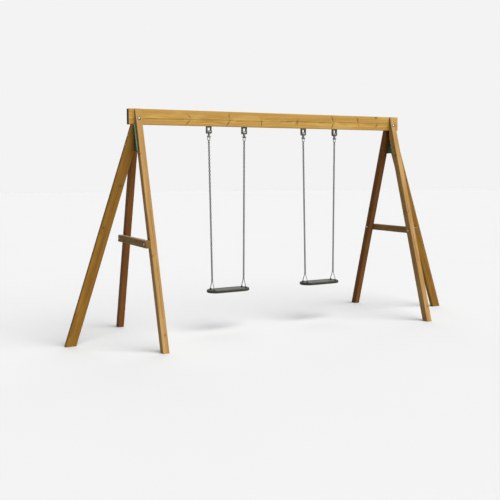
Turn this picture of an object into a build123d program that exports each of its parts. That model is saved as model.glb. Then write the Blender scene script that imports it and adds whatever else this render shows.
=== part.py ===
from build123d import *
import math
import os

# A two-seat timber swing set: a beam on two three-legged ends, with two chain swings.
# Millimetres. +X runs along the beam, +Z is up, and the ground is z = 0.

os.makedirs("parts", exist_ok=True)

# Driving dimensions ---------------------------------------------------------------

# Beam
BEAM_LENGTH = 2970.0
BEAM_HEIGHT = 140.0
BEAM_THICKNESS = 56.0        # the legs' stock
BEAM_TOP = 2080.0

# A-frame legs: the front and back leg of each end
LEG_WIDTH = 56.0             # along the beam
LEG_DEPTH = 71.0             # square to the leg, in the plane of the A-frame
LEG_TIP = 10.5               # timber left in front of the beam at the very top
FOOT_SPREAD = 1335.0         # front toe to back toe
END_OVERHANG = 56.0          # beam end past the legs' outer faces

# Outriggers: the third leg of each end, sloping out along the beam
OUTRIGGER_WIDTH = 92.0
OUTRIGGER_THICKNESS = 45.0
OUTRIGGER_TIP = 23.0         # timber left at the very top, against the gusset
OUTRIGGER_REACH = 606.0      # toe past the beam end

# Rungs
RUNG_LEVEL = 895.0           # centre above the ground
RUNG_HEIGHT = 65.0
RUNG_THICKNESS = 45.0

# Gussets: sheet-steel plates across the legs' outer faces, their side edges turned outwards
GUSSET_DROP = 240.0
GUSSET_SHEET = 4.0
GUSSET_LIP = 12.0            # turned edge, past the sheet
GUSSET_MARGIN = 30.0         # leg left bare outside the plate, measured level
GUSSET_BEND = 5.0            # outside radius of the folds

TIMBER_EDGE = 3.0            # eased long edges
DRILL_CLEARANCE = 0.25       # radial, round every bolt shank
THREAD_CLEARANCE = 0.1       # radial, between a nut and its bolt

# Bolt through leg, beam and leg
APEX_BOLT_R = 6.0
APEX_BOLT_DROP = 90.0        # below the beam's top
APEX_WASHER_R = 15.0
APEX_RECESS_R = 17.0

# Rung and outrigger bolts
FRAME_BOLT_R = 5.0
FRAME_WASHER_R = 12.5
FRAME_RECESS_R = 14.0
OUTRIGGER_BOLT_DROPS = (100.0, 180.0)

# Screws that hold the gussets to the legs
SCREW_R = 3.0
SCREW_LENGTH = 45.0
SCREW_DROPS = (105.0, 190.0)
SCREW_INSET = 14.0           # from the gusset's side edge

SCREW_HEAD_FLATS = 10.0
SCREW_HEAD_HEIGHT = 4.0

# Fastener heads, nuts and washers
APEX_NUT_FLATS = 19.0
APEX_NUT_HEIGHT = 10.0
APEX_HEAD_R = 10.0
APEX_HEAD_HEIGHT = 6.0
FRAME_NUT_FLATS = 17.0
FRAME_NUT_HEIGHT = 8.0
FRAME_HEAD_R = 10.0
FRAME_HEAD_HEIGHT = 5.0
AXLE_HEAD_HEIGHT = 6.0
HANGER_NUT_FLATS = 19.0
HANGER_NUT_HEIGHT = 10.0
HANGER_HEAD_HEIGHT = 8.0
PIN_HEAD_FLATS = 13.0
PIN_HEAD_HEIGHT = 5.0
SEAT_NUT_FLATS = 11.0
SEAT_NUT_HEIGHT = 6.0
SEAT_WASHER_R = 9.0
WASHER_THICKNESS = 2.5
RECESS_FLOOR = 1.0           # least depth of a recess on a sloping face
BOLT_PAST_NUT = 3.0

# Swings
SWING_CENTRE = 515.0         # from the middle of the beam
HANGER_SPACING = 370.0       # between the two hangers of a swing
SEAT_SPACING = 334.0         # between the two bails of a seat

# Hangers
BRACKET_GAP = 36.0           # between the cheeks
BRACKET_WALL = 5.0
BRACKET_DEPTH = 36.0
AXLE_DROP = 52.0             # axle centre below the beam
AXLE_R = 5.0
BUSH_R = 9.0
BUSH_BORE_CLEARANCE = 0.1
RUNNING_CLEARANCE = 0.05
EYE_R = 14.0
EYE_SIDE_CLEARANCE = 1.0
LUG_R = 10.0
LUG_THICKNESS = 12.0
PIN_DROP = 43.0              # shackle pin below the axle
HANGER_BOLT_R = 6.0
HANGER_RECESS_R = 17.0
HANGER_RECESS_DEPTH = 24.0

# Shackles
PIN_R = 4.0
SHACKLE_GAP = 14.0           # between the ears
SHACKLE_WIRE_R = 3.5
SHACKLE_DROP = 41.0          # bow centre below the pin
EAR_R = 8.0
EAR_THICKNESS = 8.0          # more than the wire's 7 mm, so the ears' faces stand clear of it

# Chains
LINK_PAIRS = 36
LINK_PITCH = 18.5
LINK_WIRE_R = 3.0
LINK_INNER_WIDTH = 8.0
LINK_PLAY = 0.3              # between linked pieces

# Bails: the steel triangles that carry the seats
BAIL_WIRE_R = 3.5
BAIL_BEND = 10.0
BAIL_FOOT_BEND = 12.0
BAIL_HALF_ANGLE = 28.0
BAIL_SPREAD = 84.0
BAIL_STUB = 18.0             # straight foot above the seat

# Seats
SEAT_LENGTH = 435.0
SEAT_WIDTH = 175.0
SEAT_THICKNESS = 27.0
SEAT_EDGE = 9.0
SEAT_RIM = 12.0
SEAT_DISH = 2.0
INSERT_MARGIN = 25.0
INSERT_THICKNESS = 3.0
INSERT_PLAY = 0.2
INSERT_COVER = 2.0           # rubber between the nut recesses and the insert
BOSS_R = 10.0
BOSS_HEIGHT = 11.0
SEAT_NUT_RECESS_R = 11.0
SEAT_NUT_RECESS_DEPTH = 10.0

# Derived positions ----------------------------------------------------------------

BEAM_UNDERSIDE = BEAM_TOP - BEAM_HEIGHT
BEAM_MIDDLE = BEAM_TOP - BEAM_HEIGHT / 2
LEG_FACE = BEAM_LENGTH / 2 - END_OVERHANG          # outer side faces of the A-frame legs
FRAME_X = LEG_FACE - LEG_WIDTH / 2
GUSSET_FACE = LEG_FACE + GUSSET_SHEET              # outer faces of the gusset plates
LEG_SLOPE = (FOOT_SPREAD / 2 - BEAM_THICKNESS / 2 - LEG_TIP) / BEAM_TOP
LEG_RUN = LEG_DEPTH * math.hypot(1, LEG_SLOPE)     # leg depth measured level
LEG_KNEE = BEAM_TOP - (LEG_RUN - LEG_TIP) / LEG_SLOPE
OUTRIGGER_TOE = BEAM_LENGTH / 2 + OUTRIGGER_REACH
OUTRIGGER_SLOPE = (OUTRIGGER_TOE - GUSSET_FACE - OUTRIGGER_TIP) / BEAM_UNDERSIDE
OUTRIGGER_RUN = OUTRIGGER_WIDTH * math.hypot(1, OUTRIGGER_SLOPE)
OUTRIGGER_KNEE = BEAM_UNDERSIDE - (OUTRIGGER_RUN - OUTRIGGER_TIP) / OUTRIGGER_SLOPE
GUSSET_BOTTOM = BEAM_UNDERSIDE - GUSSET_DROP

AXLE_Z = BEAM_UNDERSIDE - AXLE_DROP
PIN_Z = AXLE_Z - PIN_DROP
BOW_Z = PIN_Z - SHACKLE_DROP
LINK_COUNT = 2 * LINK_PAIRS
LINK_INNER_LENGTH = LINK_PITCH + LINK_PLAY
CHAIN_TOP = BOW_Z + SHACKLE_WIRE_R + LINK_PLAY     # top of the first link's opening
BAIL_TOP = CHAIN_TOP - LINK_COUNT * LINK_PITCH + BAIL_WIRE_R
BAIL_PIVOT_Z = BAIL_TOP - BAIL_BEND
BAIL_CORNER = BAIL_TOP + BAIL_BEND * (1 / math.sin(math.radians(BAIL_HALF_ANGLE)) - 1)
BAIL_FOOT_Z = BAIL_CORNER - BAIL_SPREAD / 2 / math.tan(math.radians(BAIL_HALF_ANGLE))
SEAT_TOP = BAIL_FOOT_Z - BAIL_STUB
SEAT_BOTTOM = SEAT_TOP - SEAT_THICKNESS
INSERT_Z = SEAT_BOTTOM + SEAT_NUT_RECESS_DEPTH + INSERT_COVER + INSERT_THICKNESS / 2

ENDS = (("left", -1), ("right", 1))
FACES = (("front", -1), ("back", 1))


def leg_face_y(level):
    """Distance of a leg's outer sloping face from the middle plane, at a level."""
    return BEAM_THICKNESS / 2 + LEG_TIP + (BEAM_TOP - level) * LEG_SLOPE


def leg_inner_y(level):
    """Distance of a leg's inner sloping face from the middle plane, at a level."""
    return leg_face_y(level) - LEG_RUN


def outrigger_face_x(level):
    """Distance of an outrigger's outer sloping face from the middle, at a level."""
    return GUSSET_FACE + OUTRIGGER_TIP + (BEAM_UNDERSIDE - level) * OUTRIGGER_SLOPE


def cut_bore(plane, radius, depth):
    """Drill from a plane's origin, against its normal, into the part being built."""
    with BuildSketch(plane) as profile:
        Circle(radius)
    extrude(profile.sketch, amount=-depth, mode=Mode.SUBTRACT)


def cut_spot_face(plane, radius, height):
    """Clear the timber outside a plane, to give a washer a square seat."""
    with BuildSketch(plane) as profile:
        Circle(radius)
    extrude(profile.sketch, amount=height, mode=Mode.SUBTRACT)


def add_rod(plane, radius, length):
    """Add a round rod from a plane's origin, against its normal."""
    with BuildSketch(plane) as profile:
        Circle(radius)
    extrude(profile.sketch, amount=-length)


def add_dome(plane, radius, height):
    """Add a low round head that stands on a plane."""
    with BuildSketch(plane) as profile:
        Circle(radius)
    extrude(profile.sketch, amount=height, taper=30)


def add_hexagon(plane, across_flats, height):
    """Add a hexagon head that stands on a plane."""
    with BuildSketch(plane) as profile:
        RegularPolygon(across_flats / 2, 6, major_radius=False)
    extrude(profile.sketch, amount=height)


def add_nut(plane, across_flats, height, bolt_r):
    """Add a hexagon nut that stands on a plane, round a bolt."""
    with BuildSketch(plane) as profile:
        RegularPolygon(across_flats / 2, 6, major_radius=False)
        Circle(bolt_r + THREAD_CLEARANCE, mode=Mode.SUBTRACT)
    extrude(profile.sketch, amount=height)


def add_washer(plane, radius, bolt_r):
    """Add a flat washer that stands on a plane, round a bolt."""
    with BuildSketch(plane) as profile:
        Circle(radius)
        Circle(bolt_r + DRILL_CLEARANCE, mode=Mode.SUBTRACT)
    extrude(profile.sketch, amount=WASHER_THICKNESS)


def save(builder, name):
    """Label a finished piece and write it."""
    builder.part.label = name
    export_step(builder.part, f"parts/{name}.step")


# Seats of the fasteners: each plane faces out of the timber at the washer ----------

APEX_Z = BEAM_TOP - APEX_BOLT_DROP
APEX_SEAT_Y = leg_face_y(APEX_Z + APEX_RECESS_R) - RECESS_FLOOR


def apex_seat(end_sign, face_sign):
    """Washer seat of the through bolt on the front or back leg."""
    origin = (end_sign * FRAME_X, face_sign * APEX_SEAT_Y, APEX_Z)
    return Plane(origin=origin, x_dir=(1, 0, 0), z_dir=(0, face_sign, 0))


RUNG_BOLT_Y = leg_face_y(RUNG_LEVEL) - LEG_RUN / 2
RUNG_OUTER = LEG_FACE + RUNG_THICKNESS


def rung_seat(end_sign, face_sign, outside):
    """Head seat on the rung, or nut seat on the leg's inner side."""
    x = RUNG_OUTER if outside else LEG_FACE - LEG_WIDTH
    normal = end_sign if outside else -end_sign
    origin = (end_sign * x, face_sign * RUNG_BOLT_Y, RUNG_LEVEL)
    return Plane(origin=origin, x_dir=(0, 1, 0), z_dir=(normal, 0, 0))


def outrigger_seat(end_sign, drop, outside):
    """Head seat in the outrigger's sloping face, or nut seat on the gusset."""
    level = BEAM_UNDERSIDE - drop
    x = LEG_FACE
    if outside:
        x = outrigger_face_x(level + FRAME_RECESS_R) - RECESS_FLOOR
    normal = end_sign if outside else -end_sign
    return Plane(origin=(end_sign * x, 0, level), x_dir=(0, 1, 0), z_dir=(normal, 0, 0))


def gusset_half(level):
    """Half the width of a gusset at a level."""
    return leg_face_y(level) - GUSSET_MARGIN


def screw_seat(end_sign, face_sign, drop):
    """Head seat of a screw, on the outer face of the gusset."""
    level = BEAM_UNDERSIDE - drop
    origin = (end_sign * GUSSET_FACE, face_sign * (gusset_half(level) - SCREW_INSET), level)
    return Plane(origin=origin, x_dir=(0, 1, 0), z_dir=(end_sign, 0, 0))


def hanger_positions(spacing):
    """X of the two hangers of each swing, from left to right."""
    return {
        end: (sign * SWING_CENTRE - spacing / 2, sign * SWING_CENTRE + spacing / 2)
        for end, sign in ENDS
    }


HANGER_X = hanger_positions(HANGER_SPACING)
BAIL_X = hanger_positions(SEAT_SPACING)
BAIL_FOOT_Y = [face_sign * BAIL_SPREAD / 2 for _, face_sign in FACES]
ALL_HANGER_X = [x for end, _ in ENDS for x in HANGER_X[end]]
HANGER_FLOOR = BEAM_TOP - HANGER_RECESS_DEPTH

# Beam -----------------------------------------------------------------------------

with BuildPart() as top_beam:
    with BuildSketch(Plane.YZ.offset(-BEAM_LENGTH / 2)):
        with Locations((0, BEAM_MIDDLE)):
            Rectangle(BEAM_THICKNESS, BEAM_HEIGHT)
    extrude(amount=BEAM_LENGTH)
    fillet(top_beam.edges(), TIMBER_EDGE)
    for _, end_sign in ENDS:
        cut_bore(apex_seat(end_sign, 1), APEX_BOLT_R + DRILL_CLEARANCE, 2 * APEX_SEAT_Y)
    for x in ALL_HANGER_X:
        cut_bore(Plane((x, 0, BEAM_TOP)), HANGER_BOLT_R + DRILL_CLEARANCE, BEAM_HEIGHT)
        cut_bore(Plane((x, 0, BEAM_TOP)), HANGER_RECESS_R, HANGER_RECESS_DEPTH)
save(top_beam, "top_beam")

# Legs -----------------------------------------------------------------------------

for end, end_sign in ENDS:
    for face, face_sign in FACES:
        with BuildPart() as leg:
            with BuildSketch(Plane.YZ.offset(end_sign * FRAME_X)):
                with BuildLine():
                    Polyline(
                        (face_sign * BEAM_THICKNESS / 2, BEAM_TOP),
                        (face_sign * leg_face_y(BEAM_TOP), BEAM_TOP),
                        (face_sign * leg_face_y(0), 0),
                        (face_sign * leg_inner_y(0), 0),
                        (face_sign * BEAM_THICKNESS / 2, LEG_KNEE),
                        close=True,
                    )
                make_face()
            extrude(amount=LEG_WIDTH / 2, both=True)
            long_edges = leg.edges().filter_by(lambda edge: edge.length > BEAM_TOP / 2)
            fillet(long_edges, TIMBER_EDGE)
            seat = apex_seat(end_sign, face_sign)
            cut_spot_face(seat, APEX_RECESS_R, LEG_DEPTH)
            cut_bore(seat, APEX_BOLT_R + DRILL_CLEARANCE, LEG_DEPTH)
            cut_bore(
                rung_seat(end_sign, face_sign, True),
                FRAME_BOLT_R + DRILL_CLEARANCE,
                RUNG_THICKNESS + LEG_WIDTH,
            )
            for drop in SCREW_DROPS:
                cut_bore(screw_seat(end_sign, face_sign, drop), SCREW_R, SCREW_LENGTH)
        save(leg, f"{end}_{face}_leg")

# Outriggers -----------------------------------------------------------------------

for end, end_sign in ENDS:
    with BuildPart() as outrigger:
        with BuildSketch(Plane.XZ):
            with BuildLine():
                Polyline(
                    (end_sign * GUSSET_FACE, BEAM_UNDERSIDE),
                    (end_sign * outrigger_face_x(BEAM_UNDERSIDE), BEAM_UNDERSIDE),
                    (end_sign * outrigger_face_x(0), 0),
                    (end_sign * (outrigger_face_x(0) - OUTRIGGER_RUN), 0),
                    (end_sign * GUSSET_FACE, OUTRIGGER_KNEE),
                    close=True,
                )
            make_face()
        extrude(amount=OUTRIGGER_THICKNESS / 2, both=True)
        long_edges = outrigger.edges().filter_by(lambda edge: edge.length > BEAM_TOP / 2)
        fillet(long_edges, TIMBER_EDGE)
        for drop in OUTRIGGER_BOLT_DROPS:
            seat = outrigger_seat(end_sign, drop, True)
            cut_spot_face(seat, FRAME_RECESS_R, OUTRIGGER_WIDTH)
            cut_bore(seat, FRAME_BOLT_R + DRILL_CLEARANCE, 2 * OUTRIGGER_WIDTH)
    save(outrigger, f"{end}_outrigger")

# Rungs ----------------------------------------------------------------------------

RUNG_TOP = RUNG_LEVEL + RUNG_HEIGHT / 2
RUNG_BOTTOM = RUNG_LEVEL - RUNG_HEIGHT / 2

for end, end_sign in ENDS:
    with BuildPart() as rung:
        with BuildSketch(Plane.YZ.offset(end_sign * (LEG_FACE + RUNG_THICKNESS / 2))):
            with BuildLine():
                Polyline(
                    (-leg_face_y(RUNG_TOP), RUNG_TOP),
                    (leg_face_y(RUNG_TOP), RUNG_TOP),
                    (leg_face_y(RUNG_BOTTOM), RUNG_BOTTOM),
                    (-leg_face_y(RUNG_BOTTOM), RUNG_BOTTOM),
                    close=True,
                )
            make_face()
        extrude(amount=RUNG_THICKNESS / 2, both=True)
        fillet(rung.edges().filter_by(Axis.Y), TIMBER_EDGE)
        for _, face_sign in FACES:
            cut_bore(
                rung_seat(end_sign, face_sign, True),
                FRAME_BOLT_R + DRILL_CLEARANCE,
                RUNG_THICKNESS,
            )
    save(rung, f"{end}_rung")

# Gussets --------------------------------------------------------------------------


def gusset_outline(inset, past):
    """Outline across the legs, its sides drawn in by an inset, its ends run past by a length."""
    side_inset = inset * math.hypot(1, LEG_SLOPE)
    half_top = gusset_half(BEAM_UNDERSIDE + past) - side_inset
    half_bottom = gusset_half(GUSSET_BOTTOM - past) - side_inset
    return [
        (-half_top, BEAM_UNDERSIDE + past),
        (half_top, BEAM_UNDERSIDE + past),
        (half_bottom, GUSSET_BOTTOM - past),
        (-half_bottom, GUSSET_BOTTOM - past),
    ]


for end, end_sign in ENDS:
    plate_plane = Plane(origin=(end_sign * LEG_FACE, 0, 0), x_dir=(0, 1, 0), z_dir=(end_sign, 0, 0))
    with BuildPart() as gusset:
        with BuildSketch(plate_plane):
            with BuildLine():
                Polyline(*[(y, end_sign * z) for y, z in gusset_outline(0, 0)], close=True)
            make_face()
        extrude(amount=GUSSET_SHEET + GUSSET_LIP)
        back = gusset.faces().sort_by(Axis.X)[-1 if end_sign < 0 else 0]
        fold_edges = back.edges().filter_by(lambda edge: abs(edge.tangent_at(0.5).Z) > 0.5)
        fillet(fold_edges, GUSSET_BEND)
        with BuildSketch(plate_plane.offset(GUSSET_SHEET)):
            with BuildLine():
                Polyline(
                    *[(y, end_sign * z) for y, z in gusset_outline(GUSSET_SHEET, GUSSET_LIP)],
                    close=True,
                )
            make_face()
        extrude(amount=GUSSET_LIP, mode=Mode.SUBTRACT)
        for drop in OUTRIGGER_BOLT_DROPS:
            cut_bore(
                outrigger_seat(end_sign, drop, True),
                FRAME_BOLT_R + DRILL_CLEARANCE,
                2 * OUTRIGGER_WIDTH,
            )
        for _, face_sign in FACES:
            for drop in SCREW_DROPS:
                seat = screw_seat(end_sign, face_sign, drop)
                cut_bore(seat, SCREW_R + DRILL_CLEARANCE, 2 * GUSSET_SHEET)
    save(gusset, f"{end}_gusset")

# Frame fasteners ------------------------------------------------------------------

with BuildPart() as apex_bolts:
    for _, end_sign in ENDS:
        seat = apex_seat(end_sign, -1).offset(WASHER_THICKNESS)
        past = 2 * WASHER_THICKNESS + APEX_NUT_HEIGHT + BOLT_PAST_NUT
        add_rod(seat, APEX_BOLT_R, 2 * APEX_SEAT_Y + past)
        add_dome(seat, APEX_HEAD_R, APEX_HEAD_HEIGHT)
save(apex_bolts, "apex_bolts")

with BuildPart() as apex_washers:
    for _, end_sign in ENDS:
        for _, face_sign in FACES:
            add_washer(apex_seat(end_sign, face_sign), APEX_WASHER_R, APEX_BOLT_R)
save(apex_washers, "apex_washers")

with BuildPart() as apex_nuts:
    for _, end_sign in ENDS:
        seat = apex_seat(end_sign, 1).offset(WASHER_THICKNESS)
        add_nut(seat, APEX_NUT_FLATS, APEX_NUT_HEIGHT, APEX_BOLT_R)
save(apex_nuts, "apex_nuts")

with BuildPart() as rung_bolts:
    for _, end_sign in ENDS:
        for _, face_sign in FACES:
            seat = rung_seat(end_sign, face_sign, True).offset(WASHER_THICKNESS)
            past = 2 * WASHER_THICKNESS + FRAME_NUT_HEIGHT + BOLT_PAST_NUT
            add_rod(seat, FRAME_BOLT_R, RUNG_THICKNESS + LEG_WIDTH + past)
            add_dome(seat, FRAME_HEAD_R, FRAME_HEAD_HEIGHT)
save(rung_bolts, "rung_bolts")

with BuildPart() as rung_washers:
    for _, end_sign in ENDS:
        for _, face_sign in FACES:
            for outside in (True, False):
                seat = rung_seat(end_sign, face_sign, outside)
                add_washer(seat, FRAME_WASHER_R, FRAME_BOLT_R)
save(rung_washers, "rung_washers")

with BuildPart() as rung_nuts:
    for _, end_sign in ENDS:
        for _, face_sign in FACES:
            seat = rung_seat(end_sign, face_sign, False).offset(WASHER_THICKNESS)
            add_nut(seat, FRAME_NUT_FLATS, FRAME_NUT_HEIGHT, FRAME_BOLT_R)
save(rung_nuts, "rung_nuts")

with BuildPart() as outrigger_bolts:
    for _, end_sign in ENDS:
        for drop in OUTRIGGER_BOLT_DROPS:
            seat = outrigger_seat(end_sign, drop, True)
            inside = outrigger_seat(end_sign, drop, False)
            grip = (seat.origin - inside.origin).length
            past = 2 * WASHER_THICKNESS + FRAME_NUT_HEIGHT + BOLT_PAST_NUT
            add_rod(seat.offset(WASHER_THICKNESS), FRAME_BOLT_R, grip + past)
            add_dome(seat.offset(WASHER_THICKNESS), FRAME_HEAD_R, FRAME_HEAD_HEIGHT)
save(outrigger_bolts, "outrigger_bolts")

with BuildPart() as outrigger_washers:
    for _, end_sign in ENDS:
        for drop in OUTRIGGER_BOLT_DROPS:
            for outside in (True, False):
                seat = outrigger_seat(end_sign, drop, outside)
                add_washer(seat, FRAME_WASHER_R, FRAME_BOLT_R)
save(outrigger_washers, "outrigger_washers")

with BuildPart() as outrigger_nuts:
    for _, end_sign in ENDS:
        for drop in OUTRIGGER_BOLT_DROPS:
            seat = outrigger_seat(end_sign, drop, False).offset(WASHER_THICKNESS)
            add_nut(seat, FRAME_NUT_FLATS, FRAME_NUT_HEIGHT, FRAME_BOLT_R)
save(outrigger_nuts, "outrigger_nuts")

with BuildPart() as gusset_screws:
    for _, end_sign in ENDS:
        for _, face_sign in FACES:
            for drop in SCREW_DROPS:
                seat = screw_seat(end_sign, face_sign, drop)
                add_rod(seat, SCREW_R, SCREW_LENGTH)
                add_hexagon(seat, SCREW_HEAD_FLATS, SCREW_HEAD_HEIGHT)
save(gusset_screws, "gusset_screws")

# Hangers --------------------------------------------------------------------------

BRACKET_WIDTH = BRACKET_GAP + 2 * BRACKET_WALL
EYE_LENGTH = BRACKET_GAP - 2 * EYE_SIDE_CLEARANCE

for end, _ in ENDS:
    with BuildPart() as brackets:
        for x in HANGER_X[end]:
            with BuildSketch(Plane.YZ.offset(x)):
                with Locations((0, (BEAM_UNDERSIDE + AXLE_Z) / 2)):
                    Rectangle(BRACKET_DEPTH, AXLE_DROP)
                with Locations((0, AXLE_Z)):
                    Circle(BRACKET_DEPTH / 2)
            extrude(amount=BRACKET_WIDTH / 2, both=True)
        for x in HANGER_X[end]:
            with BuildSketch(Plane.XZ):
                with Locations((x, BEAM_UNDERSIDE - BRACKET_WALL - AXLE_DROP)):
                    Rectangle(BRACKET_GAP, 2 * AXLE_DROP)
            extrude(amount=BRACKET_DEPTH, both=True, mode=Mode.SUBTRACT)
            cheek = Plane((x + BRACKET_WIDTH / 2, 0, AXLE_Z), z_dir=(1, 0, 0))
            cut_bore(cheek, AXLE_R + DRILL_CLEARANCE, BRACKET_WIDTH)
            top = Plane((x, 0, BEAM_UNDERSIDE))
            cut_bore(top, HANGER_BOLT_R + DRILL_CLEARANCE, BRACKET_WALL)
    save(brackets, f"{end}_hanger_brackets")

with BuildPart() as hanger_bolts:
    for x in ALL_HANGER_X:
        seat = Plane((x, 0, BEAM_UNDERSIDE - BRACKET_WALL), z_dir=(0, 0, -1))
        grip = HANGER_FLOOR - BEAM_UNDERSIDE + BRACKET_WALL
        past = WASHER_THICKNESS + HANGER_NUT_HEIGHT + BOLT_PAST_NUT
        add_rod(seat, HANGER_BOLT_R, grip + past)
        add_hexagon(seat, HANGER_NUT_FLATS, HANGER_HEAD_HEIGHT)
save(hanger_bolts, "hanger_bolts")

with BuildPart() as hanger_washers:
    for x in ALL_HANGER_X:
        add_washer(Plane((x, 0, HANGER_FLOOR)), APEX_WASHER_R, HANGER_BOLT_R)
save(hanger_washers, "hanger_washers")

with BuildPart() as hanger_nuts:
    for x in ALL_HANGER_X:
        seat = Plane((x, 0, HANGER_FLOOR + WASHER_THICKNESS))
        add_nut(seat, HANGER_NUT_FLATS, HANGER_NUT_HEIGHT, HANGER_BOLT_R)
save(hanger_nuts, "hanger_nuts")

with BuildPart() as axle_bolts:
    for x in ALL_HANGER_X:
        head = Plane((x - BRACKET_WIDTH / 2, 0, AXLE_Z), x_dir=(0, 1, 0), z_dir=(-1, 0, 0))
        add_rod(head, AXLE_R, BRACKET_WIDTH + FRAME_NUT_HEIGHT + BOLT_PAST_NUT)
        add_hexagon(head, FRAME_NUT_FLATS, AXLE_HEAD_HEIGHT)
save(axle_bolts, "axle_bolts")

with BuildPart() as axle_nuts:
    for x in ALL_HANGER_X:
        seat = Plane((x + BRACKET_WIDTH / 2, 0, AXLE_Z), x_dir=(0, 1, 0), z_dir=(1, 0, 0))
        add_nut(seat, FRAME_NUT_FLATS, FRAME_NUT_HEIGHT, AXLE_R)
save(axle_nuts, "axle_nuts")

with BuildPart() as axle_bushes:
    for x in ALL_HANGER_X:
        with BuildSketch(Plane.YZ.offset(x)):
            with Locations((0, AXLE_Z)):
                Circle(BUSH_R)
                Circle(AXLE_R + BUSH_BORE_CLEARANCE, mode=Mode.SUBTRACT)
        extrude(amount=BRACKET_GAP / 2, both=True)
save(axle_bushes, "axle_bushes")

for end, _ in ENDS:
    with BuildPart() as eyes:
        for x in HANGER_X[end]:
            with BuildSketch(Plane.YZ.offset(x)):
                with Locations((0, AXLE_Z)):
                    Circle(EYE_R)
            extrude(amount=EYE_LENGTH / 2, both=True)
            with BuildSketch(Plane.YZ.offset(x)):
                with BuildLine():
                    Polyline(
                        (-EYE_R, AXLE_Z),
                        (EYE_R, AXLE_Z),
                        (LUG_R, PIN_Z),
                        (-LUG_R, PIN_Z),
                        close=True,
                    )
                make_face()
                with Locations((0, PIN_Z)):
                    Circle(LUG_R)
            extrude(amount=LUG_THICKNESS / 2, both=True)
        for x in HANGER_X[end]:
            side = Plane((x + BRACKET_GAP / 2, 0, AXLE_Z), z_dir=(1, 0, 0))
            cut_bore(side, BUSH_R + RUNNING_CLEARANCE, BRACKET_GAP)
            side = Plane((x + BRACKET_GAP / 2, 0, PIN_Z), z_dir=(1, 0, 0))
            cut_bore(side, PIN_R + RUNNING_CLEARANCE, BRACKET_GAP)
    save(eyes, f"{end}_hanger_eyes")

# Shackles -------------------------------------------------------------------------

EAR_X = SHACKLE_GAP / 2 + EAR_THICKNESS / 2
BOW_ARC_Z = BOW_Z + EAR_X

for end, _ in ENDS:
    with BuildPart() as shackles:
        for x in HANGER_X[end]:
            with BuildLine(Plane.XZ) as bow_path:
                Line((x - EAR_X, PIN_Z), (x - EAR_X, BOW_ARC_Z))
                ThreePointArc((x - EAR_X, BOW_ARC_Z), (x, BOW_Z), (x + EAR_X, BOW_ARC_Z))
                Line((x + EAR_X, BOW_ARC_Z), (x + EAR_X, PIN_Z))
            with BuildSketch(Plane((x - EAR_X, 0, PIN_Z))):
                Circle(SHACKLE_WIRE_R)
            sweep(path=bow_path.wire())
            for ear_x in (x - EAR_X, x + EAR_X):
                with BuildSketch(Plane.YZ.offset(ear_x)):
                    with Locations((0, PIN_Z)):
                        Circle(EAR_R)
                extrude(amount=EAR_THICKNESS / 2, both=True)
        for x in HANGER_X[end]:
            side = Plane((x + EAR_X + EAR_THICKNESS, 0, PIN_Z), z_dir=(1, 0, 0))
            cut_bore(side, PIN_R + THREAD_CLEARANCE, 2 * (EAR_X + EAR_THICKNESS))
    save(shackles, f"{end}_shackles")

    with BuildPart() as pins:
        for x in HANGER_X[end]:
            ear_face = EAR_X + EAR_THICKNESS / 2
            head = Plane((x + ear_face, 0, PIN_Z), x_dir=(0, 1, 0), z_dir=(1, 0, 0))
            add_rod(head, PIN_R, 2 * ear_face + BOLT_PAST_NUT)
            add_hexagon(head, PIN_HEAD_FLATS, PIN_HEAD_HEIGHT)
    save(pins, f"{end}_shackle_pins")

# Chains ---------------------------------------------------------------------------

LINK_BEND = LINK_INNER_WIDTH / 2 + LINK_WIRE_R
LINK_STRAIGHT = LINK_INNER_LENGTH - LINK_INNER_WIDTH

with BuildPart() as link:
    with BuildLine(Plane.YZ) as link_path:
        Line((LINK_BEND, LINK_STRAIGHT / 2), (LINK_BEND, -LINK_STRAIGHT / 2))
        ThreePointArc(
            (LINK_BEND, -LINK_STRAIGHT / 2),
            (0, -LINK_STRAIGHT / 2 - LINK_BEND),
            (-LINK_BEND, -LINK_STRAIGHT / 2),
        )
        Line((-LINK_BEND, -LINK_STRAIGHT / 2), (-LINK_BEND, LINK_STRAIGHT / 2))
        ThreePointArc(
            (-LINK_BEND, LINK_STRAIGHT / 2),
            (0, LINK_STRAIGHT / 2 + LINK_BEND),
            (LINK_BEND, LINK_STRAIGHT / 2),
        )
    with BuildSketch(Plane((0, LINK_BEND, 0))):
        Circle(LINK_WIRE_R)
    sweep(path=link_path.wire())


def chain_places(top_x, bottom_x):
    """Place of each link's centre: every second one turned a quarter round."""
    first = CHAIN_TOP - LINK_INNER_LENGTH / 2
    return [
        Location(
            (top_x + (bottom_x - top_x) * n / (LINK_COUNT - 1), 0, first - n * LINK_PITCH),
            (0, 0, 90 * (n % 2)),
        )
        for n in range(LINK_COUNT)
    ]


SIDES = ("left", "right")

for end, _ in ENDS:
    for side, top_x, bottom_x in zip(SIDES, HANGER_X[end], BAIL_X[end]):
        with BuildPart() as chain:
            for place in chain_places(top_x, bottom_x):
                with Locations(place):
                    add(link.part, clean=False)
        save(chain, f"{end}_swing_{side}_chain")

# Bails ----------------------------------------------------------------------------

NUT_SEAT_Z = SEAT_BOTTOM + SEAT_NUT_RECESS_DEPTH
BAIL_END_Z = NUT_SEAT_Z - WASHER_THICKNESS - SEAT_NUT_HEIGHT

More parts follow.
